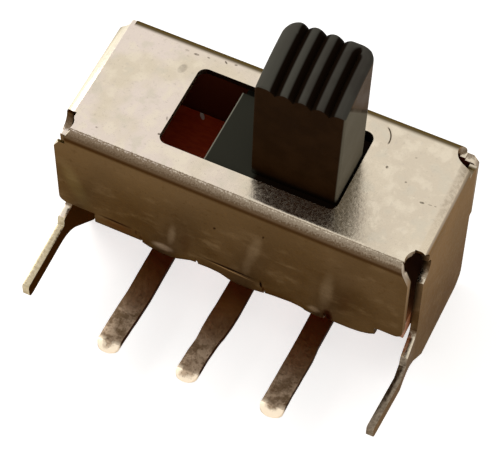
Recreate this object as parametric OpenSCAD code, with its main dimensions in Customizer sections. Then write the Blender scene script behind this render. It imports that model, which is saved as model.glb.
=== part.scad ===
// Right-angle slide switch: a folded steel frame on a terminal board,
// with a ribbed slider on top and solder pins turned forward.
// Millimetres. +Z is up out of the slider window, -Y is the side that
// lies on the circuit board, X is the direction of travel.
// Origin: on the plane of the end plates' lower edges, under the
// middle of the whole part.

/* [Frame] */
// Length of the frame over its end plates
frame_l = 12.8; // [12.4:0.1:13.6]
// Width of the frame over its front and back plates
frame_w = 5.4; // [5.2:0.1:6.2]
// Thickness of the steel sheet
sheet_t = 0.25; // [0.2:0.05:0.3]
// Outside radius of the front and end folds
fold_r = 0.4; // [0.36:0.02:0.46]
// Outside radius of the back fold
back_fold_r = 0.56; // [0.4:0.02:0.58]
// Height of the front and back plates
side_h = 4.66; // [4.5:0.02:5.1]
// Height of the end plates, which is the height of the frame
end_h = 7.55; // [7.4:0.05:8.2]
// How far the side plates stop short of the ends
side_inset = 0.03; // [0.02:0.01:0.1]
// How far the front plate stops short of the right end
front_inset = 0.24; // [0.02:0.02:0.3]
// Open slot between the front plate and the left end plate
left_slot = 0.25; // [0.2:0.05:0.6]
// Open slot between the front plate and the right end plate
right_slot = 0.6; // [0.3:0.05:0.8]
// Open slot between the back plate and each end plate
back_slot = 0.04; // [0.03:0.01:0.2]
// Radius of the relief holes at the front corners
relief_r = 0.44; // [0.42:0.01:0.48]
// Radius of the relief hole at the right back corner
relief_back_r = 0.54; // [0.46:0.01:0.56]
// Radius of the relief hole at the left back corner
relief_left_r = 0.24; // [0.2:0.01:0.3]
// Distance from the end faces to the middles of the relief holes
relief_end = 0.12; // [0.06:0.01:0.16]
// How far the side plates' slanted upper corners reach down
corner_cut = 0.9; // [0.7:0.05:1.1]
// How much higher the lower edge is at the ends of the side plates
corner_lift = 0.57; // [0.4:0.01:0.65]
// Distance from the front face to the middle of the front relief holes
relief_front = 0.45; // [0.43:0.01:0.47]
// Distance from the back face to the middle of the back relief holes
relief_back = 0.4; // [0.25:0.05:0.45]
// Radius of the lower outside corners of the side plates
corner_r = 0.3; // [0.1:0.05:0.38]
// Radius of the lower back corner of the end plates
end_corner_r = 0.6; // [0.3:0.05:1]

/* [Window] */
// Length of the slider window
window_l = 6.28; // [6.1:0.02:6.6]
// Width of the slider window
window_w = 3.28; // [2.9:0.02:3.5]
// Corner radius of the slider window
window_r = 0.3; // [0.15:0.05:0.5]

/* [Crimp tabs] */
// Width of the middle tab
tab_mid_w = 2.4; // [2:0.1:2.8]
// Width of the two outer tabs
tab_side_w = 1.7; // [1.4:0.1:1.9]
// Distance from the middle to the outer edge of the left tab
tab_left_x = 5.05; // [4.9:0.05:5.4]
// Distance from the middle to the outer edge of the right tab
tab_right_x = 5.2; // [4.9:0.05:5.4]
// Inside radius of the crimp
crimp_r = 0.08; // [0.05:0.01:0.15]
// How far the tabs' lower faces lie below the plates' lower edges
tab_drop = 0.17; // [0:0.01:0.2]
// Reach of each tab, from the outer face of its plate
tab_reach = 0.9; // [0.75:0.05:1.1]
// Width of the slits beside the tabs
slit_w = 0.08; // [0.06:0.01:0.12]

/* [Legs] */
// Height of a mounting leg, seen from the side
leg_h = 0.65; // [0.55:0.05:0.75]
// Distance from the top face to the upper edge of a leg
leg_drop = 5.22; // [5:0.02:5.4]
// Distance from the front plate's outer face to a leg's tip
leg_reach = 2.95; // [2.6:0.05:3.4]
// Distance from the front plate's outer face to the stop shoulder
shoulder_reach = 0.22; // [0:0.02:0.3]
// Height of the stop shoulder above the leg
shoulder_h = 0.34; // [0.2:0.02:0.4]
// Length of the slanted lower edge that carries the leg
gusset_l = 2.3; // [2:0.05:2.4]
// Radius of the sweep between the leg and that edge
gusset_r = 1.5; // [0.8:0.1:1.9]
// Distance from the front face back to the end plates' straight lower edge
foot_in = 1.72; // [1.6:0.02:2]
// How much shorter the right leg is
leg_short = 0.1; // [0:0.05:0.3]
// How far the right leg stands outwards just past its root
leg_bow = 0.18; // [0:0.02:0.3]
// How far the tip of the right leg stands outwards
leg_splay = 0.1; // [0:0.01:0.3]
// How far the tip of the left leg is bent inwards
leg_toe = 0.1; // [0:0.05:0.2]

/* [Board] */
// Thickness of the terminal board
board_t = 0.85; // [0.7:0.05:0.95]
// Gap around the board's ends, and around each terminal in its slot
board_gap = 0.04; // [0.02:0.01:0.08]

/* [Terminals] */
// Distance between terminals
pitch = 3; // [2.9:0.02:3.1]
// Width of a terminal
pin_w = 0.82; // [0.76:0.02:0.9]
// Length of the front run that keeps the full width
pin_full = 2.6; // [1:0.1:3.4]
// Width of a pin at its tip
pin_tip_w = 0.74; // [0.6:0.02:0.76]
// Thickness of a terminal
pin_t = 0.26; // [0.22:0.02:0.36]
// Distance from the front plate's outer face to the longest pin's tip
pin_reach = 3.38; // [3:0.02:4]
// How much shorter each pin is than the longest, from left to right
pin_short = [0, 0.12, 0.16]; // [0:0.02:0.2]
// Height of the pins' upper face above the lower edge of the end plates
pin_z = 1.15; // [0.9:0.05:1.3]
// Inside radius of the right-angle bend
bend_r = 0.3; // [0.2:0.05:0.4]
// Width of the shoulder under the board
stop_w = 1.3; // [1.1:0.05:1.5]
// Height of the shoulder under the board
stop_h = 0.45; // [0.3:0.05:0.5]
// Sideways lean of the three tips, from left to right
pin_lean = [-0.07, -0.2, -0.06]; // [-0.2:0.01:0.2]

/* [Slider] */
// Travel of the slider
travel = 3.1; // [2.9:0.02:3.12]
// Length of the knob along the travel
knob_l = 2.84; // [2.6:0.02:2.86]
// How far the knob's middle lies to the right of the body's middle
knob_shift = 0.05; // [0:0.01:0.06]
// Depth of the knob across the travel
knob_d = 2.52; // [2.3:0.02:2.6]
// Height of the knob's crown above the frame, at mid depth
knob_h = 4.82; // [4:0.02:6]
// Radius of the crown, seen from the side
crown_r = 8; // [6:0.5:12]
// Forward tilt of the crown, in degrees
crown_tilt = 13.5; // [8:0.5:16]
// Radius that rounds the crown's back edge
crown_back_r = 0.28; // [0.24:0.02:0.5]
// Radius that rounds the crown's two sides
crown_side_r = 0.12; // [0.08:0.01:0.2]
// Radius, seen from above, of the crown's back edge
crown_arch_r = 3.6; // [2.4:0.1:6]
// How far the middle of that back edge lies to the right
crown_arch_x = 0.2; // [0:0.05:0.3]
// Lean of the crown's rounded back corners, in degrees
crown_back_a = 25; // [15:1:35]
// Distance between the knob's ridges
ridge_pitch = 0.58; // [0.52:0.01:0.6]
// Radius of the grooves between the ridges
groove_r = 0.14; // [0.1:0.01:0.17]
// Depth of the grooves between the ridges
groove_depth = 0.2; // [0.12:0.01:0.26]
// How far the grooves lie to the right of the knob's middle
groove_shift = 0.04; // [0:0.02:0.12]
// Radius of the knob's upright edges
knob_edge_r = 0.1; // [0.05:0.01:0.15]
// Length of the slider's body
body_l = 6.2; // [6:0.02:6.4]
// Width of the raised band that shows in the window
band_w = 2.94; // [2.7:0.02:3.1]
// Height of the raised band
band_h = 0.4; // [0.3:0.05:0.5]
// Running gap between the slider and its neighbours
run_gap = 0.05; // [0.03:0.01:0.08]
// Width of the channel under the slider
channel_w = 1.9; // [1.8:0.05:2.1]
// Thickness of the slider above its channel
roof_t = 2.15; // [2.1:0.05:2.2]
// Radius of the post that holds the clip
post_r = 0.3; // [0.24:0.02:0.34]
// Height of the post's flattened head
head_t = 0.12; // [0.08:0.02:0.16]

/* [Contact clip] */
// Length of the clip
clip_l = 3.8; // [3.6:0.05:4.2]
// Thickness of the clip's strip
clip_t = 0.15; // [0.1:0.01:0.18]
// Gap between the clip and the walls of its channel
clip_side_gap = 0.1; // [0.05:0.01:0.14]
// Gap between the clip's fingers and a blade
contact_gap = 0.03; // [0.02:0.01:0.06]
// Width of the slot that parts the fingers
finger_slot = 0.7; // [0.5:0.05:0.8]
// Height of the fingers' ends above the board
finger_lift = 0.15; // [0.1:0.01:0.2]
// Clearance between the blades and the post's head
blade_clear = 0.13; // [0.08:0.01:0.2]

/* [Hidden] */
$fn = 48;
e = 0.01;
lap = 0.1;

hx = frame_l / 2;
hy = frame_w / 2;
in_x = hx - sheet_t;
in_y = hy - sheet_t;
side_z = end_h - side_h;                 // lower edge of the side plates
tab_z = side_z - tab_drop;               // lower face of a crimped tab
crimp_z = tab_z + crimp_r + sheet_t;     // where the crimp begins
board_z = tab_z + sheet_t;               // lower face of the board
board_top = board_z + board_t;
board_y = in_y - crimp_r;                // half width of the board
end_y1 = in_y - back_slot;               // back edge of the end plates
leg_z1 = end_h - leg_drop;
leg_z0 = leg_z1 - leg_h;
leg_y = -hy - leg_reach;
end_foot = -hy + foot_in;                 // front of the end plates' lower edge
stop_y = -hy - shoulder_reach;
band_z = end_h - sheet_t - run_gap;      // top of the slider's band
slider_z = board_top + run_gap;          // underside of the slider
slider_y = in_y - run_gap;               // half width of the slider
rest_x = travel / 2;                     // slider at its right-hand stop
roof_z = band_z - roof_t;
blade_z = roof_z - clip_t - head_t - blade_clear;
origin = [-max(leg_bow, leg_splay) / 2, pin_reach / 2, 0]; // under the middle of the part

// Points of an arc, for outlines
function arc(c, r, a0, a1, n = 8) =
    [for (i = [0:n]) let (a = a0 + (a1 - a0) * i / n)
        [c[0] + r * cos(a), c[1] + r * sin(a)]];

// Stands a y-z outline up and extrudes it along x from x0 to x1
module along_x(x0, x1) {
    translate([x0, 0, 0]) rotate([90, 0, 90])
        linear_extrude(height = x1 - x0) children();
}

// Stands an x-z outline up and extrudes it along y from y0 to y1
module along_y(y0, y1) {
    translate([0, y1, 0]) rotate([90, 0, 0])
        linear_extrude(height = y1 - y0) children();
}

module block(x0, x1, y0, y1, z0, z1) {
    translate([x0, y0, z0]) cube([x1 - x0, y1 - y0, z1 - z0]);
}

// Outline of a quarter ring with its corner at [0, 0], in the quadrant
// of negative first and positive second coordinate
module quarter_ring(r_out, r_in) {
    intersection() {
        difference() {
            circle(r_out);
            if (r_in > 0) circle(r_in);
        }
        translate([-r_out - 1, 0]) square([r_out + 1, r_out + 1]);
    }
}

// Section of a fold in the sheet, with its centre at [0, 0]; both ends run
// on a little, into the flats they join
module fold_ring(r_out) {
    r_in = r_out - sheet_t;
    quarter_ring(r_out, r_in);
    translate([0, r_in]) square([lap, sheet_t]);
    translate([-r_out, -lap]) square([sheet_t, lap]);
}

module round_rect(l, w, r) {
    union() {
        square([l - 2 * r, w], center = true);
        square([l, w - 2 * r], center = true);
        for (sx = [-1, 1], sy = [-1, 1])
            translate([sx * (l / 2 - r), sy * (w / 2 - r)]) circle(r);
    }
}

// A side plate, drawn at the front, with its left tab's outer edge at
// -tab_l, its right tab's at tab_r and its right end at x1
module side_plate(r, tab_l, tab_r, x1) {
    x0 = -hx + side_inset;
    tabs = [-tab_l, tab_r];
    // fold
    along_x(-hx + fold_r, hx - fold_r)
        translate([-hy + r, end_h - r]) fold_ring(r);
    difference() {
        block(x0, x1, -hy, -in_y, side_z, end_h - r);
        for (i = [0, 1]) {
            s = 2 * i - 1;
            x = i > 0 ? x1 : x0;
            // shorter outer ends
            block(i > 0 ? tabs[1] : -hx - 1, i > 0 ? hx + 1 : tabs[0],
                  -hy - 1, -in_y + 1, side_z - 1, side_z + corner_lift);
            along_y(-hy - 1, -in_y + 1)
                translate([x - s * corner_r, side_z + corner_lift + corner_r])
                    difference() {
                        translate([s > 0 ? 0 : -corner_r - 1, -corner_r - e])
                            square([corner_r + 1, corner_r + e]);
                        circle(corner_r);
                    }
            // room for the outer tabs and the slits beside them
            t = tabs[i] - s * (tab_side_w + slit_w);
            block(min(t, tabs[i] + s * e), max(t, tabs[i] + s * e),
                  -hy - 1, -in_y + 1, side_z - 1, crimp_z);
        }
        // room for the middle tab
        block(-tab_mid_w / 2 - slit_w, tab_mid_w / 2 + slit_w,
              -hy - 1, -in_y + 1, side_z - 1, crimp_z);
    }
    crimp_tab(-tab_mid_w / 2, tab_mid_w / 2);
    crimp_tab(-tab_l, -tab_l + tab_side_w);
    crimp_tab(tab_r - tab_side_w, tab_r);
}

// A tab bent inwards under the board
module crimp_tab(x0, x1) {
    r = crimp_r + sheet_t;
    along_x(x0, x1)
        translate([-hy + r, crimp_z]) mirror([0, 1]) fold_ring(r);
    block(x0, x1, -hy + r, -hy + tab_reach, tab_z, board_z);
}

// Side outline of an end plate with its leg: front edge at y0, tip of
// the leg at y1
module end_outline(y0, y1) {
    tip_r = 0.22;
    mid = [end_foot - gusset_l, leg_z0 - gusset_r];  // centre of the sweep
    d = [end_foot, 0] - mid;
    a = atan2(d[1], d[0]) + acos(gusset_r / norm(d));
    polygon(concat(
        [[y0, end_h - fold_r]],
        // hollow above the shoulder
        arc([y0 - 0.28, leg_z1 + shoulder_h + 0.28], 0.28, 0, -90),
        [[stop_y + 0.06, leg_z1 + shoulder_h],
         [stop_y, leg_z1 + shoulder_h - 0.06],
         [stop_y - 0.03, leg_z1 + 0.04],
         [stop_y - 0.07, leg_z1]],
        // tip
        arc([y1 + 0.1, leg_z1 - 0.1], 0.1, 90, 180, 4),
        arc([y1 + tip_r, leg_z0 + tip_r], tip_r, 180, 270, 6),
        // sweep of the leg's lower edge down to the foot
        arc(mid, gusset_r, 90, a, 8),
        [[end_foot, 0]],
        // lower back corner
        arc([end_y1 - end_corner_r, end_corner_r], end_corner_r, 270, 360),
        [[end_y1, end_h - fold_r]]
    ));
}

// Right end plate with its front edge at y0: the outline, cut from a
// strip that bends sideways from that edge on, by bow at the leg's root
// and by splay at its tip
module end_plate(y0, short, bow, splay) {
    y1 = leg_y + short;
    r1 = stop_y - 0.6;
    along_y(y0, end_y1)
        translate([hx - fold_r, end_h - fold_r])
            mirror([1, 0]) fold_ring(fold_r);
    intersection() {
        along_x(hx - 1, hx + 1) end_outline(y0, y1);
        linear_extrude(height = end_h)
            polygon([[in_x, end_y1 + e], [in_x, y0], [in_x + bow, r1],
                     [in_x + splay, y1 - e], [hx + splay, y1 - e],
                     [hx + bow, r1], [hx, y0], [hx, end_y1 + e]]);
    }
}

module frame() {
    color("#D9CEBB")
    difference() {
        union() {
            block(-hx + fold_r, hx - fold_r, -hy + fold_r, hy - back_fold_r,
                  end_h - sheet_t, end_h);
            side_plate(fold_r, tab_left_x, tab_right_x, hx - front_inset);
            mirror([0, 1, 0])
                side_plate(back_fold_r, tab_left_x, tab_left_x, hx - side_inset);
            end_plate(-in_y + right_slot, leg_short, leg_bow, leg_splay);
            mirror([1, 0, 0])
                end_plate(-in_y + left_slot, 0, -0.3 * leg_toe, -leg_toe);
        }
        // slider window
        translate([0, 0, end_h - 1])
            linear_extrude(height = 2) round_rect(window_l, window_w, window_r);
        // relief holes at the four corners, through the top and the folds
        relief([hx - relief_end, -hy + relief_front], relief_r, fold_r, front_inset);
        relief([-hx + relief_end, -hy + relief_front], relief_r, fold_r, side_inset);
        relief([hx - relief_end, hy - relief_back], relief_back_r, back_fold_r, side_inset);
        relief([-hx + relief_end, hy - relief_back], relief_left_r, back_fold_r, side_inset);
        // the same holes where they run down the end plates
        translate([hx, -in_y + right_slot, end_h - 1.25]) end_hole(0.53);
        translate([hx, -in_y + right_slot - 0.15, end_h - 0.57]) end_hole(relief_r);
        translate([-hx, -in_y + left_slot, end_h - 0.35]) end_hole(0.55);
        translate([hx, end_y1, end_h - 0.3]) end_hole(relief_r);
        translate([-hx, end_y1, end_h - 0.3]) end_hole(relief_left_r + 0.06);
    }
}

// Hole at c that keeps the folds apart at one corner of the top, and the
// slanted corner below it, through a side plate that stops short by inset
module relief(c, hole, r, inset) {
    sx = sign(c[0]);
    sy = sign(c[1]);
    y0 = in_y - 0.02;
    y1 = hy + 1;
    translate([c[0], c[1], end_h - r - 0.06]) cylinder(r = hole, h = 2);
    along_y(sy > 0 ? y0 : -y1, sy > 0 ? y1 : -y0)
        polygon([[c[0] - sx * (hole + 0.03), end_h],
                 [sx * (hx - inset), end_h - corner_cut],
                 [sx * (hx + 1), end_h - corner_cut],
                 [sx * (hx + 1), end_h + 1],
                 [c[0] - sx * (hole + 0.03), end_h + 1]]);
}

module end_hole(r) {
    rotate([0, 90, 0]) cylinder(r = r, h = 2 * sheet_t + 0.4, center = true);
}

module board() {
    color("#4A160C")
    difference() {
        block(-in_x + board_gap, in_x - board_gap, -board_y, board_y,
              board_z, board_top);
        for (i = [-1:1])
            block(i * pitch - pin_w / 2 - board_gap, i * pitch + pin_w / 2 + board_gap,
                  -pin_t / 2 - board_gap, pin_t / 2 + board_gap,
                  board_z - 1, board_top + 1);
    }
}

// A flat pin: blade, shoulder, right-angle bend and forward run
module terminal(lean, short) {
    pin_y = -hy - pin_reach + short;           // tip
    bz = pin_z + bend_r;                       // centre height of the bend
    by = -pin_t / 2 - bend_r;
    color("#8C8478")
    union() {
        // blade, up through the board
        difference() {
            block(-pin_w / 2, pin_w / 2, -pin_t / 2, pin_t / 2, bz, blade_z);
            for (s = [-1, 1])
                along_x(-pin_w, pin_w)
                    polygon([[s * pin_t / 2 + s * e, blade_z + e],
                             [s * pin_t / 4, blade_z + e],
                             [s * pin_t / 2 + s * e, blade_z - pin_t / 2]]);
        }
        block(-stop_w / 2, stop_w / 2, -pin_t / 2, pin_t / 2,
              board_z - stop_h, board_z);
        // bend
        along_x(-pin_w / 2, pin_w / 2)
            translate([by, bz]) mirror([1, 0]) mirror([0, 1])
                quarter_ring(bend_r + pin_t, bend_r);
        // forward run, narrower towards its round tip
        intersection() {
            translate([0, 0, pin_z - pin_t])
                linear_extrude(height = pin_t) union() {
                    polygon([[-pin_w / 2, by], [pin_w / 2, by],
                             [pin_w / 2 + lean * 0.3, by - pin_full],
                             [lean + pin_tip_w / 2, pin_y + pin_tip_w / 2],
                             [lean - pin_tip_w / 2, pin_y + pin_tip_w / 2],
                             [-pin_w / 2 + lean * 0.3, by - pin_full]]);
                    translate([lean, pin_y + pin_tip_w / 2]) circle(pin_tip_w / 2);
                }
            // the tip is bevelled above and below
            along_x(-pin_w, pin_w)
                polygon([[by + e, pin_z + e], [by + e, pin_z - pin_t - e],
                         [pin_y + 0.2, pin_z - pin_t - e],
                         [pin_y - e, pin_z - 0.7 * pin_t],
                         [pin_y - e, pin_z - 0.55 * pin_t],
                         [pin_y + 0.36, pin_z + e]]);
        }
    }
}

// Height and place of the crown's axis, and of the round at its back
crown_y = crown_r * sin(crown_tilt);
crown_z = end_h + knob_h - crown_r * cos(crown_tilt);
back_y = knob_d / 2 - crown_back_r;
back_z = crown_z + sqrt(pow(crown_r - crown_back_r, 2) - pow(back_y - crown_y, 2));

// The ridged crown, turned about an axis that lies along the travel
module crown() {
    k = knob_l / 2;
    q = crown_r - crown_side_r;
    translate([0, crown_y, crown_z]) rotate([0, 90, 0])
        rotate_extrude($fn = 180)
            difference() {
                union() {
                    translate([0, -k]) square([q, 2 * k]);
                    translate([0, -k + crown_side_r])
                        square([crown_r, 2 * (k - crown_side_r)]);
                    for (s = [-1, 1])
                        translate([q, s * (k - crown_side_r)]) circle(crown_side_r);
                }
                for (i = [-1.5:1:1.5])
                    translate([crown_r + groove_r - groove_depth,
                               i * ridge_pitch + groove_shift])
                        circle(groove_r);
            }
}

// What is cut away behind the crown, turned about an upright axis, so
// that the back edge is round and its corners fall off
module crown_back() {
    rc = crown_arch_r - crown_back_r;
    dir = [back_y - crown_y, back_z - crown_z] / (crown_r - crown_back_r);
    low = [rc + crown_back_r * cos(crown_back_a),
           back_z + crown_back_r * sin(crown_back_a)];
    translate([crown_arch_x, knob_d / 2 - crown_arch_r, 0])
        rotate_extrude($fn = 180)
            difference() {
                polygon([[rc, back_z], [rc, back_z] + dir * 1.5,
                         [rc + 2.5, back_z + 1.5],
                         [rc + 2.5, low[1] - 1.5 / tan(crown_back_a)],
                         low + [1.5, -1.5 / tan(crown_back_a)], low]);
                translate([rc, back_z]) circle(crown_back_r);
            }
}

module knob() {
    translate([knob_shift, 0, 0])
    difference() {
        intersection() {
            translate([0, 0, band_z - band_h])
                linear_extrude(height = knob_h + crown_r) round_rect(knob_l, knob_d, knob_edge_r);
            crown();
        }
        crown_back();
    }
}

module slider() {
    b = body_l / 2;
    color("#2B2A26")
    translate([rest_x, 0, 0])
    union() {
        difference() {
            union() {
                block(-b, b, -slider_y, slider_y, slider_z, band_z - band_h);
                block(-b, b, -band_w / 2, band_w / 2, band_z - band_h - e, band_z);
            }
            block(-b - 1, b + 1, -channel_w / 2, channel_w / 2,
                  slider_z - 1, roof_z);
        }
        knob();
        // post through the clip, with its flattened head
        translate([0, 0, roof_z - clip_t - e]) cylinder(r = post_r, h = clip_t + 2 * e);
        translate([0, 0, roof_z - clip_t - head_t])
            cylinder(r = post_r + 0.16, h = head_t);
    }
}

// One side of the clip: down from the web, in to the blade, out again
module clip_arm() {
    w = channel_w / 2 - clip_side_gap;
    c = pin_t / 2 + contact_gap;               // inner face at the blade
    zc = (board_top + blade_z) / 2;
    ze = board_top + finger_lift;
    polygon([[w, roof_z], [w, roof_z - 2.2 * clip_t],
             [c + clip_t, zc + 0.06], [c + clip_t, zc - 0.06],
             [c + clip_t + 0.22, ze], [c + 0.22 - 0.02, ze],
             [c, zc - 0.06], [c, zc + 0.06],
             [w - clip_t, roof_z - 2.4 * clip_t], [w - clip_t, roof_z]]);
}

module contact_clip() {
    w = channel_w / 2 - clip_side_gap;
    color("#B98A4A")
    translate([rest_x, 0, 0])
    difference() {
        union() {
            block(-clip_l / 2, clip_l / 2, -w, w, roof_z - clip_t, roof_z);
            along_x(-clip_l / 2, clip_l / 2) {
                clip_arm();
                mirror([1, 0]) clip_arm();
            }
        }
        translate([0, 0, roof_z - 1]) cylinder(r = post_r + 0.02, h = 2);
        block(-finger_slot / 2, finger_slot / 2, -w - 1, w + 1,
              board_top - 1, roof_z - 3 * clip_t);
    }
}

translate(origin) frame();
translate(origin) slider();
translate(origin) board();
translate(origin + [-pitch, 0, 0]) terminal(pin_lean[0], pin_short[0]);  // terminal_left
translate(origin) terminal(pin_lean[1], pin_short[1]);  // terminal_centre
translate(origin + [pitch, 0, 0]) terminal(pin_lean[2], pin_short[2]);  // terminal_right
translate(origin) contact_clip();
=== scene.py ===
import math
from functools import partial

import bmesh
import bpy
from mathutils import Matrix, Vector


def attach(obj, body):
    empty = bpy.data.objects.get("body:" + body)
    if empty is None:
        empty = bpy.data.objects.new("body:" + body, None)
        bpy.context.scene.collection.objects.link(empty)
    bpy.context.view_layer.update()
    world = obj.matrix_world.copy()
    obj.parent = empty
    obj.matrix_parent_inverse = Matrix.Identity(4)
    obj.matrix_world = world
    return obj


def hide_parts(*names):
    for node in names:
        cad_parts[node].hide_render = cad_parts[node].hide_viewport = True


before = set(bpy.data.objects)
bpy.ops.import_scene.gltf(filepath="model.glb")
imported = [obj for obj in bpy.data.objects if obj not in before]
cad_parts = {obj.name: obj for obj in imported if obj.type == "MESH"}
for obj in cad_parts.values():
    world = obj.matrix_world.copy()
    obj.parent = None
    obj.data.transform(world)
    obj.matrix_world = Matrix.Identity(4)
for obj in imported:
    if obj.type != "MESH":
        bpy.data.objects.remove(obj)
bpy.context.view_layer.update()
mm = 0.001
scene = bpy.context.scene
scene.view_settings.view_transform = "Standard"

# from the part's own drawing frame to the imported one, and the height of the flat top, in mm
shift = Vector((-0.09, 1.69, 0))
flatTop = 7.55
print("frame loaded")

# nodes by a short name: Blender's kind, its settings, the sockets that values fill, the output given back
nodeKinds = {
    "blend": ("ShaderNodeMix", {"data_type": "RGBA"}, (0, 6, 7), 2),
    "ramp": ("ShaderNodeMapRange", {"interpolation_type": "SMOOTHSTEP"},
             ("Value", "From Min", "From Max", "To Min", "To Max"), 0),
    "noise": ("ShaderNodeTexNoise", {}, ("Vector", "Scale", "Detail", "Roughness"), 0),
    "stretched": ("ShaderNodeMapping", {}, ("Vector", "Scale"), 0),
    "placed": ("ShaderNodeMapping", {"vector_type": "TEXTURE"}, ("Vector", "Location", "Rotation", "Scale"), 0),
    "vectorMath": ("ShaderNodeVectorMath", {}, (0, 1), 0),
    "split": ("ShaderNodeSeparateXYZ", {}, (0,), None),
    "attribute": ("ShaderNodeAttribute", {}, (), "Vector"),
    "bump": ("ShaderNodeBump", {}, ("Height", "Strength", "Distance"), 0),
    "rays": ("ShaderNodeLightPath", {}, (), None),
    "given": ("NodeGroupInput", {}, (), None),
    "result": ("NodeGroupOutput", {}, (0,), None),
}


def toLinear(hexText):
    values = [int(hexText[i:i + 2], 16) / 255 for i in (1, 3, 5)]
    return [v / 12.92 if v <= 0.04045 else ((v + 0.055) / 1.055) ** 2.4 for v in values] + [1]


# a socket's value may be a number, a hex colour or another node's output
def fillSockets(tree, node, values):
    for name, value in values.items():
        socket = node.inputs[name]
        if isinstance(value, bpy.types.NodeSocket):
            tree.links.new(value, socket)
        else:
            socket.default_value = toLinear(value) if isinstance(value, str) and value[0] == "#" else value


# adds one node with its settings and links; a kind in capitals is a Math node's operation
def addNode(tree, kind, *values, out=None, **settings):
    if kind.isupper():
        name, fixed, sockets, main = "ShaderNodeMath", {"operation": kind}, (0, 1, 2), 0
    else:
        name, fixed, sockets, main = nodeKinds.get(kind, (kind, {}, (), 0))
    node = tree.nodes.new(name)
    for key, value in {**fixed, **settings}.items():
        setattr(node, key, value)
    fillSockets(tree, node, values[0] if values and isinstance(values[0], dict) else dict(zip(sockets, values)))
    out = main if out is None else out
    return node.outputs if out is None else node.outputs[out]


# a new material, its place in mm from the middle of the flat top, and how to add nodes and dress its shader
def newMaterial(name):
    material = bpy.data.materials.new(name)
    material.use_nodes = True
    tree = material.node_tree
    add = partial(addNode, tree)
    place = add("ShaderNodeMapping", {"Vector": add("ShaderNodeTexCoord", out="Object"), "Scale": (1 / mm,) * 3,
                                      "Location": (-shift.x, -shift.y, -flatTop)})
    return material, place, add, partial(fillSockets, tree, tree.nodes["Principled BSDF"])


# lays colours over one another: pattern, where it starts, where it is full, how strong, colour
def layered(add, patterns, colour, layers):
    for name, start, full, strength, over in layers:
        colour = add("blend", add("ramp", patterns[name], start, full, 0, strength), colour, over)
    return colour


# a soft oval mark, 1 in the middle and 0 outside
def spot(add, place, centre, size, turn=(0, 0, 0), soft=0.5):
    moved = add("placed", place, centre, turn, size)
    return add("ramp", add("vectorMath", moved, operation="LENGTH", out="Value"), 1, 1 - soft)


# marks over a colour, each broken up by a pattern: middle, half size, turn, depth, colour
def marked(add, place, colour, marks, broken, soft):
    for centre, size, turn, depth, paint in marks:
        mark = add("MULTIPLY", spot(add, place, centre, size, turn, soft), broken)
        colour = add("blend", add("MULTIPLY", mark, depth), colour, paint)
    return colour


# tin plate: noise per pattern (cells per mm, detail, roughness), and the marks on it
tinSizes = {
    "noise": {
        "cloud": (0.45, 3.0, 0.5),    # patches 2 mm across
        "mottle": (1.3, 3.0, 0.5),
        "fleck": (4.0, 4.0, 0.65),
        "grain": (9.0, 3.0, 0.6),     # plating grain, drawn 0.1 mm coarse to show
        "fine": (20.0, 2.0, 0.5),
    },
    "streak": ((0.9, 1.8, 1.8), 1.0, 4.0, 0.65),   # handling stains, drawn out along the length
    "scratch": {"middle": (2.99, 1.545, 0), "radius": 0.635, "soft": (0.035, 0.01),
                "from": (3.55, 1.79, 0), "reach": (0.38, 0.38, 1)},
    "dirt": "#4A3C2C", "frontY": -2.7, "grainDepth": 0.00002,
}
# middle, half size, turn and depth in x, y on the top
topMarks = (
    ((3.95, 0.62), (0.06, 0.07), 0.3, 0.8), ((4.72, 0.35), (0.05, 0.04), 0.2, 0.6),
    ((5.49, -0.15), (0.10, 0.05), 0.1, 0.8), ((5.75, -0.12), (0.09, 0.03), 0.1, 0.45),
    ((5.93, -0.10), (0.05, 0.03), 0.0, 0.5), ((4.65, 1.36), (0.05, 0.04), 0.0, 0.4),
    ((-3.50, 2.02), (0.12, 0.05), 0.1, 0.8), ((-3.85, 2.04), (0.10, 0.05), 0.0, 0.3),
    ((-3.08, 2.07), (0.07, 0.04), 0.0, 0.6), ((-2.48, 2.14), (0.09, 0.04), -0.7, 0.9),
    ((-2.14, 2.19), (0.07, 0.04), 0.3, 0.7), ((-3.66, 1.30), (0.17, 0.26), -0.2, 0.35),
    ((-3.17, -1.38), (0.07, 0.05), 0.5, 0.9), ((-3.22, -0.72), (0.04, 0.10), 0.4, 0.5),
    ((-5.10, -2.02), (0.06, 0.04), 0.0, 0.5),
)
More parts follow.
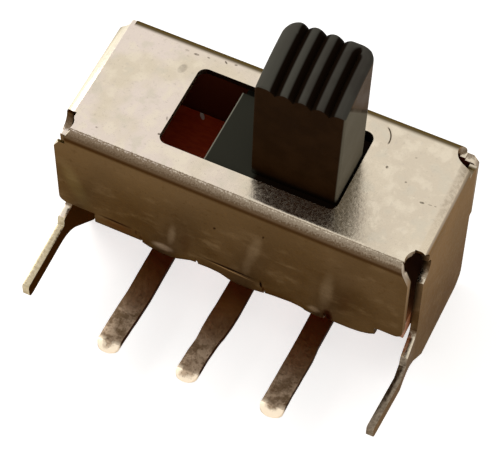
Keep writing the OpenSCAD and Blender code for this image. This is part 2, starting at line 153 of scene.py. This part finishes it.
# the same in x, z on the front, each with its own colour: the pale blotches are painted reflections, and the dark
# and pale lines along the tab creases are painted shade and a painted highlight
frontMarksAndPaintedLight = (
    ((-2.15, -3.50), (0.20, 0.90), 0.12, 0.5, "#917C62"), ((-2.50, -4.42), (0.50, 0.26), 0.0, 0.9, "#A8947C"),
    ((0.85, -2.40), (0.30, 1.20), 0.2, 0.45, "#8A755A"), ((0.60, -3.50), (0.22, 0.80), 0.1, 0.3, "#8A755A"),
    ((3.45, -3.00), (0.32, 1.40), 0.1, 0.45, "#8A755A"), ((3.05, -4.45), (0.30, 0.25), 0.0, 0.6, "#9C866C"),
    ((-5.70, -2.80), (0.45, 1.60), -0.3, 0.3, "#7C6C48"), ((-1.65, -3.70), (0.26, 1.00), 0.1, 0.5, "#48301E"),
    ((4.10, -3.30), (0.30, 1.10), 0.1, 0.4, "#48301E"), ((-4.25, -4.30), (0.90, 0.26), 0.0, 0.5, "#54341E"),
    ((-0.57, -2.00), (0.07, 0.10), 0.5, 0.9, "#24140A"), ((1.17, -1.38), (0.05, 0.12), 0.2, 0.8, "#24140A"),
    ((-0.05, -4.09), (1.28, 0.08), 0.02, 1.0, "#180C06"), ((1.12, -4.28), (0.07, 0.28), -0.1, 1.0, "#180C06"),
    ((0.05, -4.21), (1.05, 0.05), 0.09, 0.9, "#9A7C58"), ((-4.25, -4.06), (0.85, 0.08), 0.03, 0.9, "#24140A"),
    ((-3.50, -4.22), (0.05, 0.22), 0.0, 0.6, "#2A180C"), ((3.54, -4.44), (0.24, 0.46), 0.0, 1.0, "#2E0E04"),
    ((3.54, -4.60), (0.26, 0.30), 0.0, 1.0, "#2E0E04"),
)


# tin plate on cold rolled steel, punched and folded: satin, faintly grained along the sheet
def tinPlate():
    material, place, add, dress = newMaterial("tinPlatedSteel")
    s = tinSizes
    px, py, pz = add("split", place)
    fx, fy, fz = add("split", add("attribute", attribute_name="facing"))
    inner = add("attribute", attribute_name="inner", out="Fac")
    cut = add("attribute", attribute_name="cut", out="Fac")
    patterns = {name: add("noise", place, *values) for name, values in s["noise"].items()}
    grain = patterns["grain"]
    stretch, *values = s["streak"]
    patterns["streak"] = add("noise", add("stretched", place, stretch), *values)
    ragged = add("MULTIPLY_ADD", add("SUBTRACT", patterns["fine"], 0.5), 0.6, fy)
    patterns.update(px=px, py=py, pz=pz, fx=fx, fy=fy, endwise=add("ABSOLUTE", fx), ragged=ragged)

    top = layered(add, patterns, "#E2D3C6", (
        ("px", -5, 4, 1, "#D5C7B1"), ("cloud", 0.45, 0.62, 1, "#DACCB5"), ("mottle", 0.5, 0.64, 0.6, "#E8DBC4"),
        ("mottle", 0.46, 0.34, 0.6, "#D2C8B4"), ("fleck", 0.54, 0.72, 0.5, "#E8DAC2"),
        ("fleck", 0.42, 0.3, 0.4, "#C8BCAD"), ("grain", 0.42, 0.28, 0.3, "#AEA292")))
    # a hair-thin scratch, part of a circle
    c = s["scratch"]
    bent = add("vectorMath", place, c["middle"], operation="DISTANCE", out="Value")
    bent = add("ramp", add("ABSOLUTE", add("SUBTRACT", bent, c["radius"])), *c["soft"])
    bent = add("MULTIPLY", bent, spot(add, place, c["from"], c["reach"], soft=0.3))
    top = add("blend", bent, top, s["dirt"])
    marks = [(at + (0,), size + (1,), (0, 0, turn), depth, s["dirt"]) for at, size, turn, depth in topMarks]
    top = marked(add, place, top, marks, add("ramp", grain, 0.3, 0.55, 0.4, 1), 0.5)

    # the front and back plates' brown is a painted reflection of brown surroundings, with the streaks and clouds
    # in it
    side = layered(add, patterns, "#4E3B26", (
        ("cloud", 0.38, 0.62, 1, "#5A4630"), ("streak", 0.5, 0.75, 0.45, "#7A644A")))
    high = add("MULTIPLY", add("ramp", pz, -3.4, -0.4), add("ramp", px, 3, -4, 0.4, 0.9))
    side = add("blend", high, side, "#6B553C")   # paler near the fold and to the left, part of the painted reflection
    side = layered(add, patterns, side, (("fleck", 0.42, 0.3, 0.3, "#453019"),))
    # front plate marks: pale painted reflections, and painted shade and a painted highlight along the tab creases
    marks = [((x, s["frontY"], z), (wide, 1, tall), (0, turn, 0), depth, paint)
             for (x, z), (wide, tall), turn, depth, paint in frontMarksAndPaintedLight]
    side = marked(add, place, side, marks, add("ramp", patterns["streak"], 0.3, 0.6, 0.6, 1), 0.8)
    # the end plates' brown is a painted reflection as well, paler towards the top
    endPlate = layered(add, patterns, "#6E543A", (
        ("pz", -7.0, -0.5, 1, "#8E704E"), ("streak", 0.5, 0.7, 0.4, "#957A5C"),
        ("cloud", 0.4, 0.65, 0.5, "#7C6346")))

    # folds: painted highlights and reflections lead from the pale top to the brown sides: a near-white painted
    # highlight on the left, a painted reflection with a painted shade line on the right, a darkening painted
    # reflection at the front
    rightFold = layered(add, patterns, "#BAAB96", (
        ("grain", 0.35, 0.65, 1, "#CFC0AA"), ("py", 0.5, -2.0, 1, "#DACBB2")))
    frontFold = layered(add, patterns, "#7C6A56", (("px", -3.5, 2.5, 1, "#8F806D"),))
    colour = layered(add, patterns, top, (
        ("fx", -0.1, -0.4, 1, "#FFF4DC"), ("fx", 0.12, 0.4, 1, rightFold), ("fx", 0.74, 0.93, 1, "#9A8C7C"),
        ("endwise", 0.92, 0.995, 1, endPlate), ("ragged", -0.2, -0.5, 1, frontFold),
        ("ragged", -0.5, -0.85, 1, "#5A4733"), ("fy", -0.86, -0.96, 1, "#3E2A17")))
    low = add("MULTIPLY", add("ramp", fy, -0.93, -0.99), add("ramp", pz, -0.33, -0.52))
    colour = add("blend", low, colour, side)
    # the back fold's dark band is painted shade seen at a low angle; the back plate takes the sides' painted
    # brown
    colour = layered(add, patterns, colour, (("fy", 0.08, 0.35, 1, "#63563F"), ("fy", 0.9, 0.99, 1, side)))
    # cut edges of the legs: pale on the left, darker grey on the right
    leftCut = layered(add, patterns, "#B4A484", (("grain", 0.3, 0.7, 1, "#CDBFA2"),))
    rightCut = layered(add, patterns, "#685B4C", (("grain", 0.35, 0.65, 1, "#8A7C6A"),))
    colour = add("blend", cut, colour, add("blend", add("ramp", px, -1, 1), leftCut, rightCut))
    # inside faces are painted dark brown as painted shade, and redder near the board as painted light off it
    redder = add("MULTIPLY", add("ramp", py, 0, 1), add("ramp", pz, -4.6, -3.6))   # painted red light off the board
    colour = add("blend", inner, colour, add("blend", redder, "#46280C", "#6A3019"))
    mirror = add("ramp", grain, 0.3, 0.7, 0.17, 0.27)   # the top mirrors the knob softly
    dress({
        "Base Color": colour,
        "Metallic": add("SUBTRACT", 1, inner),   # not metal inside, so the painted shade there stays dark
        "Specular IOR Level": 0,                 # and without gloss there; the plating doesn't use it
        "Specular Tint": "#A39E98",              # no white sheen at a low angle
        "Roughness": add("MULTIPLY_ADD", add("ramp", fz, 0.9, 0.5), 0.22, mirror),
        "Normal": add("bump", grain, 0.14, s["grainDepth"]),
    })
    return material


# the knob's right face, in mm: its lean, and a slanting painted reflection of the can's back edge across it with
# another painted tone above
plasticSizes = {"lean": -0.029, "slant": 1.318, "line": 3.33, "lineFade": (0.16, 0.03), "tone": (3.15, 3.45)}


# black ABS, moulded in a polished tool: half gloss, brown where it is thin with dust
def blackPlastic():
    material, place, add, dress = newMaterial("mouldedBlackAbs")
    s = plasticSizes
    px, py, pz = add("split", place)
    cloud = add("noise", place, 1.2, 3.0)
    fz = add("split", add("attribute", attribute_name="facing"))[2]
    # painted reflection: the right face shows the tin sheet's tone up to a slanting line, the reflected back edge
    # of the can, and a browner tone above it
    over = add("MULTIPLY_ADD", py, s["slant"], pz)
    outward = add("MULTIPLY_ADD", pz, s["lean"], px)
    patterns = {"cloud": cloud, "px": px, "pz": pz, "over": over, "outward": outward,
                "groove": add("attribute", attribute_name="groove", out="Fac")}
    right = layered(add, patterns, "#665F50", (("over", *s["tone"], 1, "#544230"),))
    line = add("ramp", add("ABSOLUTE", add("SUBTRACT", over, s["line"])), *s["lineFade"])
    right = add("blend", add("MULTIPLY", line, add("ramp", cloud, 0.3, 0.6, 0.4, 0.9)), right, "#332818")
    # the crown's grey is a painted reflection of the bright sky, darker to the right as painted shade, with the
    # grooves painted near-black as painted shade
    top = layered(add, patterns, "#4D4A42", (
        ("px", 0.3, 2.9, 1, "#3E3A34"), ("cloud", 0.4, 0.6, 0.3, "#4F4E46"),
        ("groove", 0.05, 0.24, 1, "#140C06")))
    # the band is painted darker under and right of the knob as painted shade
    band = layered(add, patterns, "#34332B", (("px", 0.1, 0.3, 1, "#150D07"),))
    colour = layered(add, patterns, "#241406", (
        ("cloud", 0.4, 0.65, 1, "#2A190A"), ("outward", 2.94, 3.0, 1, right)))
    # the painted sky reflection goes on the crown's upward faces only
    crown = add("MULTIPLY", add("ramp", fz, 0.1, 0.35), add("ramp", pz, 3.6, 3.9))
    colour = layered(add, patterns, add("blend", crown, colour, top), (("pz", 0.05, -0.2, 1, band),))
    bandEdgeHighlight = add("MULTIPLY", add("ramp", px, -1.50, -1.53), add("ramp", pz, -0.45, -0.35))
    dress({
        "Base Color": add("blend", bandEdgeHighlight, colour, "#8A8778"),   # painted highlight along the band's left edge
        "IOR": 1.5,
        "Specular IOR Level": 0.004,   # a dark room in its reflections
        "Roughness": add("ramp", cloud, 0.35, 0.65, 0.32, 0.42),
        "Normal": add("bump", add("noise", place, 14.0, 2.0), 0.15, 0.00001),
    })
    return material


# phenolic paper laminate, sheared: dark red brown, resin-rich and slightly glossy
def phenolicPaper():
    material, place, add, dress = newMaterial("phenolicPaperLaminate")
    fibre = add("noise", add("stretched", place, (1.0, 3.0, 6.0)), 3.0, 4.0, 0.6)
    patterns = {"fibre": fibre, "outward": add("ABSOLUTE", add("split", place)[0])}
    # paler towards the ends, a painted light where the board shows through the corner holes
    colour = layered(add, patterns, "#C43A0E", (
        ("fibre", 0.35, 0.65, 1, "#D04A18"), ("outward", 4.0, 5.5, 1, "#A0623A")))
    glint = spot(add, place, (-3.45, 2.26, -3.73), (0.08, 0.2, 1), (0, 0, 0.7), 0.3)
    dress({
        "Base Color": add("blend", glint, colour, "#FFE4D4"),   # painted glint at the board's back edge
        "Roughness": 0.4,
        "Normal": add("bump", fibre, 0.2, 0.00002),
    })
    return material


# brass strip dipped in solder: dull, blotched tin with the flux still on it
def tinnedPin():
    material, place, add, dress = newMaterial("tinnedBrassStrip")
    blotch = add("noise", place, 3.2, 4.0, 0.6)
    fine = add("noise", place, 11.0, 3.0)
    ragged = add("SUBTRACT", blotch, 0.5)
    along = add("MULTIPLY_ADD", ragged, 0.9, add("split", place)[1])
    fz = add("split", add("attribute", attribute_name="facing"))[2]
    patterns = {"blotch": blotch, "fine": fine, "along": along}
    dip = layered(add, patterns, "#7E6850", (
        ("blotch", 0.38, 0.62, 1, "#BCA58C"), ("fine", 0.5, 0.7, 0.6, "#54402A")))
    # darker towards the root as painted shade where the pins come out from under the front plate
    colour = layered(add, patterns, "#5F4022", (
        ("along", -2.6, -4.4, 1, "#82654A"), ("along", -3.7, -4.7, 1, dip)))
    # distance past the middle of the rounded tip, and out from it
    fromTip = add("vectorMath", place, add("attribute", attribute_name="tip"), operation="SUBTRACT")
    fromTip = add("vectorMath", fromTip, (1, 1, 0), operation="MULTIPLY")
    past = add("MULTIPLY_ADD", ragged, -0.7, add("vectorMath", fromTip, operation="LENGTH", out="Value"))
    bright = add("MULTIPLY", add("ramp", past, 0.1, 0.3), add("ramp", add("split", fromTip)[1], 0.16, -0.06))
    edge = add("MAXIMUM", add("SUBTRACT", add("ramp", fz, 0.8, 0.5), bright), 0)
    dress({
        "Base Color": add("blend", edge, add("blend", bright, colour, "#F8E6CC"), "#3A2616"),
        "Metallic": 1.0,
        "Specular Tint": "#A39E98",
        "Roughness": add("ramp", fine, 0.3, 0.7, 0.35, 0.5),
        "Normal": add("bump", blotch, 0.3, 0.00003),
    })
    return material


# phosphor bronze spring strip, rolled bright
def springBronze():
    material, place, add, dress = newMaterial("phosphorBronzeStrip")
    streak = add("noise", add("stretched", place, (1.0, 8.0, 8.0)), 2.0, 3.0)
    dress({
        "Base Color": add("blend", add("ramp", streak, 0.35, 0.65), "#B98A4A", "#CFA361"),
        "Metallic": 1.0,
        "Roughness": 0.32,
        "Normal": add("bump", streak, 0.1, 0.00001),
    })
    return material


# lengths in mm, angles in degrees
meshSizes = {
    "weld": 0.0005, "flatWithin": 0.8, "bevelRings": 2, "bevelFrom": 40, "sharpFrom": 35, "flatWeight": 80,
}


# a copy of a CAD node in mm, merged, with its flat faces whole again
def copyNode(name):
    bm = bmesh.new()
    bm.from_mesh(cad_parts[name].data)
    bmesh.ops.scale(bm, vec=(1 / mm,) * 3, verts=bm.verts)
    bmesh.ops.remove_doubles(bm, verts=bm.verts, dist=meshSizes["weld"])
    flat = math.radians(meshSizes["flatWithin"])
    bmesh.ops.dissolve_limit(bm, angle_limit=flat, verts=bm.verts, edges=bm.edges)
    return bm


# a modifier added and made real
def applyModifier(obj, kind, settings):
    modifier = obj.modifiers.new("made", kind)
    for name, value in settings.items():
        setattr(modifier, name, value)
    bpy.context.view_layer.update()
    made = bpy.data.meshes.new_from_object(obj.evaluated_get(bpy.context.evaluated_depsgraph_get()))
    obj.modifiers.clear()
    obj.data = made
    made.name = obj.name


def finishPiece(bm, name, material, bevel):
    mesh = bpy.data.meshes.new(name)
    bm.to_mesh(mesh)
    bm.free()
    obj = bpy.data.objects.new(name, mesh)
    scene.collection.objects.link(obj)
    applyModifier(obj, "BEVEL", {
        "width": bevel, "segments": meshSizes["bevelRings"], "limit_method": "ANGLE",
        "angle_limit": math.radians(meshSizes["bevelFrom"]), "miter_outer": "MITER_ARC"})
    obj.data.materials.clear()
    obj.data.materials.append(material)
    return obj


# to metres, smooth over the folds and flat on the flats
def toMetres(obj, sharp=meshSizes["sharpFrom"]):
    obj.data.transform(Matrix.Scale(mm, 4))
    obj.data.shade_smooth()
    obj.data.set_sharp_from_angle(angle=math.radians(sharp))
    applyModifier(obj, "WEIGHTED_NORMAL", {
        "mode": "FACE_AREA", "weight": meshSizes["flatWeight"], "keep_sharp": True})
    facing = [value for n in obj.data.corner_normals for value in n.vector]
    obj.data.attributes.new("facing", "FLOAT_VECTOR", "CORNER").data.foreach_set("vector", facing)


materials = {
    "frame": tinPlate(), "slider": blackPlastic(), "board": phenolicPaper(),
    "terminal": tinnedPin(), "clip": springBronze(),
}
print("materials made")

frameSizes = {
    "edge": 0.025,   # rounding of its edges
    "frontY": -1.7,  # the front plate lies in front of this
    "insideX": 5.9, "insideY": 2.3, "insideZ": (2.6, 7), "smallest": 0.02,   # faces that are seen as the inside
    "legTop": 2.9, "legY": -2.75, "cutTurn": 0.7,   # where the legs are, and how far a cut edge faces up or front
    # how far the front plate's lower edge sags round the pins, at distances x from the middle
    "sagTop": 3.25, "sagFade": 0.2, "cell": 0.1, "cellShift": 0.03, "halfCells": 52,
    "drop": ((-5.2, 0), (-3.35, 0), (-3.27, 0), (-3.0, 0.12), (-2.5, 0.2), (-2.0, 0.15), (-1.75, 0.03),
             (-1.45, -0.10), (-1.22, -0.12), (-1.2, 0), (-0.8, -0.02), (-0.4, 0.03), (-0.05, 0.2), (0.3, 0.26),
             (0.72, 0.24), (1.1, 0.17), (1.2, 0.14), (1.27, 0.04), (1.6, 0), (2.2, -0.05), (2.6, 0), (2.75, 0.1),
             (3.1, 0.15), (3.5, 0.1), (3.75, 0.15), (4.3, 0.15), (4.7, 0.1), (5.0, 0), (5.25, -0.15)),
}


def sagEdge(obj):
    size = frameSizes
    bm = bmesh.new()
    bm.from_mesh(obj.data)

    def cut(place, across, top):
        faces = [f for f in bm.faces if all(v.co.y - shift.y < size["frontY"] and v.co.z < top for v in f.verts)]
        parts = {e for f in faces for e in f.edges} | {v for f in faces for v in f.verts} | set(faces)
        bmesh.ops.bisect_plane(bm, geom=list(parts), plane_co=place + shift, plane_no=across)

    top = size["sagTop"]
    cut(Vector((0, 0, top)), (0, 0, 1), 9)   # only the lowest strip is divided
    for i in range(-size["halfCells"], size["halfCells"] + 1):
        cut(Vector((i * size["cell"] + size["cellShift"], 0, 0)), (1, 0, 0), top + 0.001)
    for v in bm.verts:
        away = v.co - shift
        if away.y > size["frontY"] or away.z > top:
            continue
        for (x0, d0), (x1, d1) in zip(size["drop"], size["drop"][1:]):
            if x0 <= away.x < x1:
                drop = d0 + (d1 - d0) * (away.x - x0) / (x1 - x0)
                v.co.z -= drop * min((top - away.z) / size["sagFade"], 1)
    bm.to_mesh(obj.data)
    bm.free()


def buildFrame():
    size = frameSizes
    obj = finishPiece(copyNode("frame"), "sheetFrame", materials["frame"], size["edge"])
    sagEdge(obj)
    toMetres(obj)
    mesh = obj.data
    marks = {"inner": [0.0] * len(mesh.loops), "cut": [0.0] * len(mesh.loops)}
    low, high = size["insideZ"]
    for poly in mesh.polygons:
        n, away = poly.normal, poly.center / mm - shift
        sides = [abs(n.x), abs(n.y), abs(n.z)]
        turned = (n.x * away.x < 0 and abs(away.x) > size["insideX"],
                  n.y * away.y < 0 and abs(away.y) > size["insideY"] and away.z > low,
                  n.z < 0 and away.z > high)[sides.index(max(sides))]
        inner = turned and poly.area / mm ** 2 > size["smallest"]
        onLeg = away.z < size["legTop"] and away.y < size["legY"]
        cut = onLeg and (n.z > size["cutTurn"] or n.y < -size["cutTurn"])
        for i in poly.loop_indices:
            marks["inner"][i] = float(inner)
            marks["cut"][i] = float(cut)
    for name, values in marks.items():
        mesh.attributes.new(name, "FLOAT", "CORNER").data.foreach_set("value", values)
    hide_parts("frame")
    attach(obj, "housing")


buildFrame()
print("frame made")

# the slider's knob, in mm from the part's middle
knobSizes = {
    "length": 3.04, "depth": 2.52, "centreX": 1.62, "foot": 7.24, "footLength": 3.00, "footX": 1.525,
    "crownRadius": 8.0, "crownY": 1.8675, "crownZ": 4.65,
    "pitch": 0.60, "grooveDepth": 0.24, "grooveShift": 0.08, "grooves": 4,
    "rimLeft": 0.34, "rimRight": 0.16, "frontRound": 0.06, "backRound": 0.34,
    "cornerFront": 0.09, "cornerBackLeft": 0.6, "cornerBackRight": 0.6,
    "crestPower": 0.75, "lastGrooveEnd": 1.0, "runOut": (0.3, 0.15), "acrossCells": 142, "alongCells": 110,
    "rings": (0.02, 0.15), "sharp": 50, "cutAt": 7.252, "bodyEdge": 0.03,
}


def crownTree(sizes):
    tree = bpy.data.node_groups.new("ribbedCrown", "GeometryNodeTree")
    tree.interface.new_socket("Geometry", in_out="INPUT", socket_type="NodeSocketGeometry")
    ids = {}
    for name in ("length", "depth", "crownRadius", "crownY", "crownZ", "pitch", "grooveDepth", "grooveShift",
                 "grooves", "lastGrooveEnd"):
        ids[name] = tree.interface.new_socket(name, in_out="INPUT", socket_type="NodeSocketFloat").identifier
    tree.interface.new_socket("Geometry", in_out="OUTPUT", socket_type="NodeSocketGeometry")
    given = addNode(tree, "given")
    use = {name: given[name] for name in ids}
    add = partial(addNode, tree)
    grid = add("GeometryNodeMeshGrid", {"Size X": use["length"], "Size Y": use["depth"],
                                        "Vertices X": sizes["acrossCells"] + 1,
                                        "Vertices Y": sizes["alongCells"] + 1})
    x, y = add("split", add("GeometryNodeInputPosition"))[:2]

    # the crown is an arc of a circle along the depth
    offset = add("SUBTRACT", y, use["crownY"])
    radius = use["crownRadius"]
    square = add("SUBTRACT", add("MULTIPLY", radius, radius), add("MULTIPLY", offset, offset))
    height = add("ADD", use["crownZ"], add("SQRT", add("MAXIMUM", square, 0)))
    # counted in pitches across, made positive by 100; cell is 0 in a groove's middle and 0.5 on a rib's crest
    whole = add("DIVIDE", add("SUBTRACT", x, use["grooveShift"]), use["pitch"])
    cell = add("ABSOLUTE", add("SUBTRACT", add("FRACT", add("ADD", whole, 100)), 0.5))
    crest = add("POWER", add("SINE", add("MULTIPLY", cell, math.pi)), sizes["crestPower"])
    half = add("MULTIPLY", use["grooves"], 0.5)
    within = add("LESS_THAN", add("ABSOLUTE", whole), half)
    # the last groove on the right runs out before the back
    last = add("GREATER_THAN", whole, add("SUBTRACT", half, 1))
    before, after = sizes["runOut"]
    past = add("ramp", y, add("SUBTRACT", use["lastGrooveEnd"], before), add("ADD", use["lastGrooveEnd"], after))
    clear = add("SUBTRACT", 1, add("MULTIPLY", last, past))
    depth = add("MULTIPLY", add("MULTIPLY", add("SUBTRACT", 1, crest), within), clear)
    height = add("SUBTRACT", height, add("MULTIPLY", depth, use["grooveDepth"]))
    place = add("ShaderNodeCombineXYZ", {0: x, 1: y, 2: height})
    grid = add("GeometryNodeSetPosition", {"Geometry": grid, "Position": place})
    kept = add("GeometryNodeStoreNamedAttribute", {"Geometry": grid, "Name": "groove", "Value": depth},
               data_type="FLOAT", domain="POINT")
    real = add("GeometryNodeRealizeInstances", {"Geometry": kept})
    add("result", add("GeometryNodeSetMaterial", {"Geometry": real, "Material": materials["slider"]}))
    return tree, ids


# how far a rounded edge falls at this distance in from the rim
def rolled(distance, radius):
    inside = min(max(radius - distance, 0), radius)
    return radius - math.sqrt(radius ** 2 - inside ** 2)


def buildKnob():
    s = knobSizes
    tree, ids = crownTree(s)
    obj = bpy.data.objects.new("ribbedKnob", bpy.data.meshes.new("ribbedKnob"))
    modifier = obj.modifiers.new("crown", "NODES")
    modifier.node_group = tree
    for name, identifier in ids.items():
        modifier[identifier] = float(s[name])
    scene.collection.objects.link(obj)
    bpy.context.view_layer.update()
    made = bpy.data.meshes.new_from_object(obj.evaluated_get(bpy.context.evaluated_depsgraph_get()))
    obj.modifiers.clear()
    bm = bmesh.new()
    bm.from_mesh(made)
    a, b = s["length"] / 2, s["depth"] / 2
    for v in bm.verts:   # corners pulled round in plan, then the rim rolled over
        end = s["frontRound"] if v.co.y < 0 else s["backRound"]
        r = s["cornerFront"] if v.co.y < 0 else s["cornerBackLeft"] if v.co.x < 0 else s["cornerBackRight"]
        side = s["rimLeft"] if v.co.x < 0 else s["rimRight"]
        drop = rolled(a - abs(v.co.x), side)
        dx, dy = abs(v.co.x) - (a - r), abs(v.co.y) - (b - r)
        if dx > 0 and dy > 0:
            far = max(dx, dy)
            k = far / math.hypot(dx, dy)
            share = (dy * k / far) ** 2   # 0 on the side, 1 on the back
            drop = max(drop, rolled(r - far, side * (1 - share) + end * share))
            v.co.x = math.copysign(a - r + dx * k, v.co.x)
            v.co.y = math.copysign(b - r + dy * k, v.co.y)
        else:
            drop = max(drop, rolled(b - abs(v.co.y), end))
        v.co.z -= drop
    for step in s["rings"] + (None,):   # two close rings keep the walls' shading flat, then the foot
        edges = [e for e in bm.edges if e.is_boundary]
        walls = bmesh.ops.extrude_edge_only(bm, edges=edges)["geom"]
        for v in [g for g in walls if isinstance(g, bmesh.types.BMVert)]:
            if step:
                v.co.z -= step
            else:   # the knob is a little narrower at its foot
                v.co.z = s["foot"]
                v.co.x = v.co.x * s["footLength"] / s["length"] + s["footX"] - s["centreX"]
    bmesh.ops.contextual_create(bm, geom=[e for e in bm.edges if e.is_boundary])
    bmesh.ops.recalc_face_normals(bm, faces=bm.faces)
    bmesh.ops.translate(bm, verts=bm.verts, vec=Vector((s["centreX"], 0, 0)) + shift)
    bm.to_mesh(obj.data)
    bm.free()
    obj.data.materials.append(materials["slider"])
    toMetres(obj, s["sharp"])
    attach(obj, "actuator")


def buildSlider():
    bm = copyNode("slider")
    bmesh.ops.bisect_plane(bm, geom=bm.verts[:] + bm.edges[:] + bm.faces[:], plane_co=(0, 0, knobSizes["cutAt"]),
                           plane_no=(0, 0, 1), clear_outer=True)   # the knob is made apart
    bmesh.ops.holes_fill(bm, edges=[e for e in bm.edges if e.is_boundary])
    obj = finishPiece(bm, "sliderBody", materials["slider"], knobSizes["bodyEdge"])
    toMetres(obj)
    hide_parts("slider")
    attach(obj, "actuator")


buildSlider()
buildKnob()
print("slider made")

# left and right edges of each pin, in mm from its own place x, at distances y along it
terminalSizes = {
    "edge": 0.035, "from": -2.7, "firstRing": -2.6, "ringStep": 0.25, "rings": 13,
    "fullWidth": 0.7, "tipRadius": 0.38,
    "terminal_left": {"x": -3, "edges": ((-2.7, -0.40, 0.43), (-3.6, -0.39, 0.44), (-4.4, -0.42, 0.41),
                                         (-5.0, -0.44, 0.37), (-5.6, -0.44, 0.34), (-6.1, -0.44, 0.33))},
    "terminal_centre": {"x": 0, "edges": ((-2.7, -0.45, 0.43), (-3.4, -0.48, 0.40), (-3.8, -0.49, 0.35),
                                          (-4.3, -0.47, 0.27), (-5.0, -0.53, 0.22), (-6.1, -0.58, 0.19))},
    "terminal_right": {"x": 3, "edges": ((-2.7, -0.41, 0.36), (-3.4, -0.42, 0.40), (-4.2, -0.44, 0.37),
                                         (-5.0, -0.46, 0.34), (-5.6, -0.48, 0.34), (-6.1, -0.48, 0.33))},
}


def buildTerminal(name):
    size, pin = terminalSizes, terminalSizes[name]
    own = shift + Vector((pin["x"], 0, flatTop))
    bm = copyNode(name)
    bmesh.ops.translate(bm, verts=bm.verts, vec=-own)
    for i in range(1, size["rings"] + 1):   # rings for the bends
        bmesh.ops.bisect_plane(bm, geom=bm.verts[:] + bm.edges[:] + bm.faces[:],
                               plane_co=(0, size["firstRing"] - size["ringStep"] * i, 0), plane_no=(0, 1, 0))
    tipY = min(v.co.y for v in bm.verts)
    # how wide the straight pin is at each ring, up to where its tip starts
    rings = {round(v.co.y, 3) for v in bm.verts if v.co.y < size["from"]}
    across = {y: [v.co.x for v in bm.verts if abs(v.co.y - y) < 0.001] for y in rings}
    full = {y: (min(xs), max(xs)) for y, xs in across.items() if max(xs) - min(xs) > size["fullWidth"]}
    last = min(full)
    for v in bm.verts:
        y = round(v.co.y, 3)
        if y >= size["from"]:
            continue
        a, b = full[min(sorted(full), key=lambda ring: abs(ring - max(y, last)))]
        for (y0, l0, r0), (y1, l1, r1) in zip(pin["edges"], pin["edges"][1:]):
            if y1 <= y <= y0:
                t = (y0 - y) / (y0 - y1)
                t = t * t * (3 - 2 * t)
                left, right = l0 + (l1 - l0) * t, r0 + (r1 - r0) * t
        v.co.x = left + (v.co.x - a) / (b - a) * (right - left)
    tip = (pin["x"] + (pin["edges"][-1][1] + pin["edges"][-1][2]) / 2, tipY + size["tipRadius"], 0)
    bmesh.ops.translate(bm, verts=bm.verts, vec=own)
    obj = finishPiece(bm, name + "Pin", materials["terminal"], size["edge"])
    toMetres(obj)
    tips = tip * len(obj.data.loops)
    obj.data.attributes.new("tip", "FLOAT_VECTOR", "CORNER").data.foreach_set("vector", tips)
    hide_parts(name)
    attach(obj, "housing")


for name in ("terminal_left", "terminal_centre", "terminal_right"):
    buildTerminal(name)
for name, material in (("board", materials["board"]), ("contact_clip", materials["clip"])):
    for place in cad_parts[name].material_slots:
        place.material = material
print("terminals, board and clip made")

stageSizes = {
    "floor": 1.2, "floorShown": 0.6, "worldLight": 0.6, "aim": (0, 0, 0.006),
    "lamps": {"key": ((-0.17, 0.02, 0.12), 0.12, 0.16), "fill": ((0.10, -0.18, 0.14), 0.14, 0.03)},
}


# 1 for rays that show the background, straight or in a gloss, and 0 for those that light the object
def seenDirectly(tree):
    rays = addNode(tree, "rays")
    seen = addNode(tree, "MAXIMUM", rays["Is Camera Ray"], rays["Is Glossy Ray"])
    return addNode(tree, "MAXIMUM", seen, rays["Is Transmission Ray"])


def buildStage():
    bpy.ops.mesh.primitive_plane_add(size=stageSizes["floor"])
    floor = bpy.context.object
    floor.name = "paleFloor"
    material = bpy.data.materials.new("paleFloor")
    material.use_nodes = True
    tree = material.node_tree
    fillSockets(tree, tree.nodes["Principled BSDF"], {
        "Base Color": "#EFEDEA", "Roughness": 0.9, "Specular IOR Level": 0, "Emission Color": "#FFFFFF",
        "Emission Strength": addNode(tree, "MULTIPLY", seenDirectly(tree), stageSizes["floorShown"])})
    floor.data.materials.append(material)

    world = bpy.data.worlds.new("studio")
    scene.world = world
    world.use_nodes = True
    tree = world.node_tree
    dim = stageSizes["worldLight"]   # what lights the object; the camera sees plain white
    strength = addNode(tree, "MULTIPLY_ADD", seenDirectly(tree), 1 - dim, dim)
    fillSockets(tree, tree.nodes["Background"], {"Color": "#FFFFFF", "Strength": strength})

    for name, (place, size, power) in stageSizes["lamps"].items():
        data = bpy.data.lights.new(name, "AREA")
        data.size = size
        data.energy = power
        lamp = bpy.data.objects.new(name, data)
        lamp.location = place
        lamp.rotation_euler = (Vector(stageSizes["aim"]) - Vector(place)).to_track_quat("-Z", "Y").to_euler()
        scene.collection.objects.link(lamp)


cameraSizes = {"azimuth": 24.352, "elevation": 56.986, "roll": 1.175, "place": (0.01750, -0.03757, 0.06845),
               "lens": 166.95, "sensor": 36, "shift": (-0.0195, -0.0043), "clip": 0.001}


def buildCamera():
    c = cameraSizes
    a, e, r = (math.radians(c[k]) for k in ("azimuth", "elevation", "roll"))
    back = Vector((math.sin(a) * math.cos(e), -math.cos(a) * math.cos(e), math.sin(e)))
    right = Vector((0, 0, 1)).cross(back).normalized()
    up = back.cross(right)
    right, up = right * math.cos(r) + up * math.sin(r), up * math.cos(r) - right * math.sin(r)
    data = bpy.data.cameras.new("camera")
    data.lens = c["lens"]
    data.sensor_width = c["sensor"]
    data.shift_x, data.shift_y = c["shift"]
    data.clip_start = c["clip"]
    camera = bpy.data.objects.new("camera", data)
    camera.matrix_world = Matrix.Translation(c["place"]) @ Matrix((right, up, back)).transposed().to_4x4()
    scene.collection.objects.link(camera)
    scene.camera = camera


buildStage()
buildCamera()
print("stage, lights and camera made")
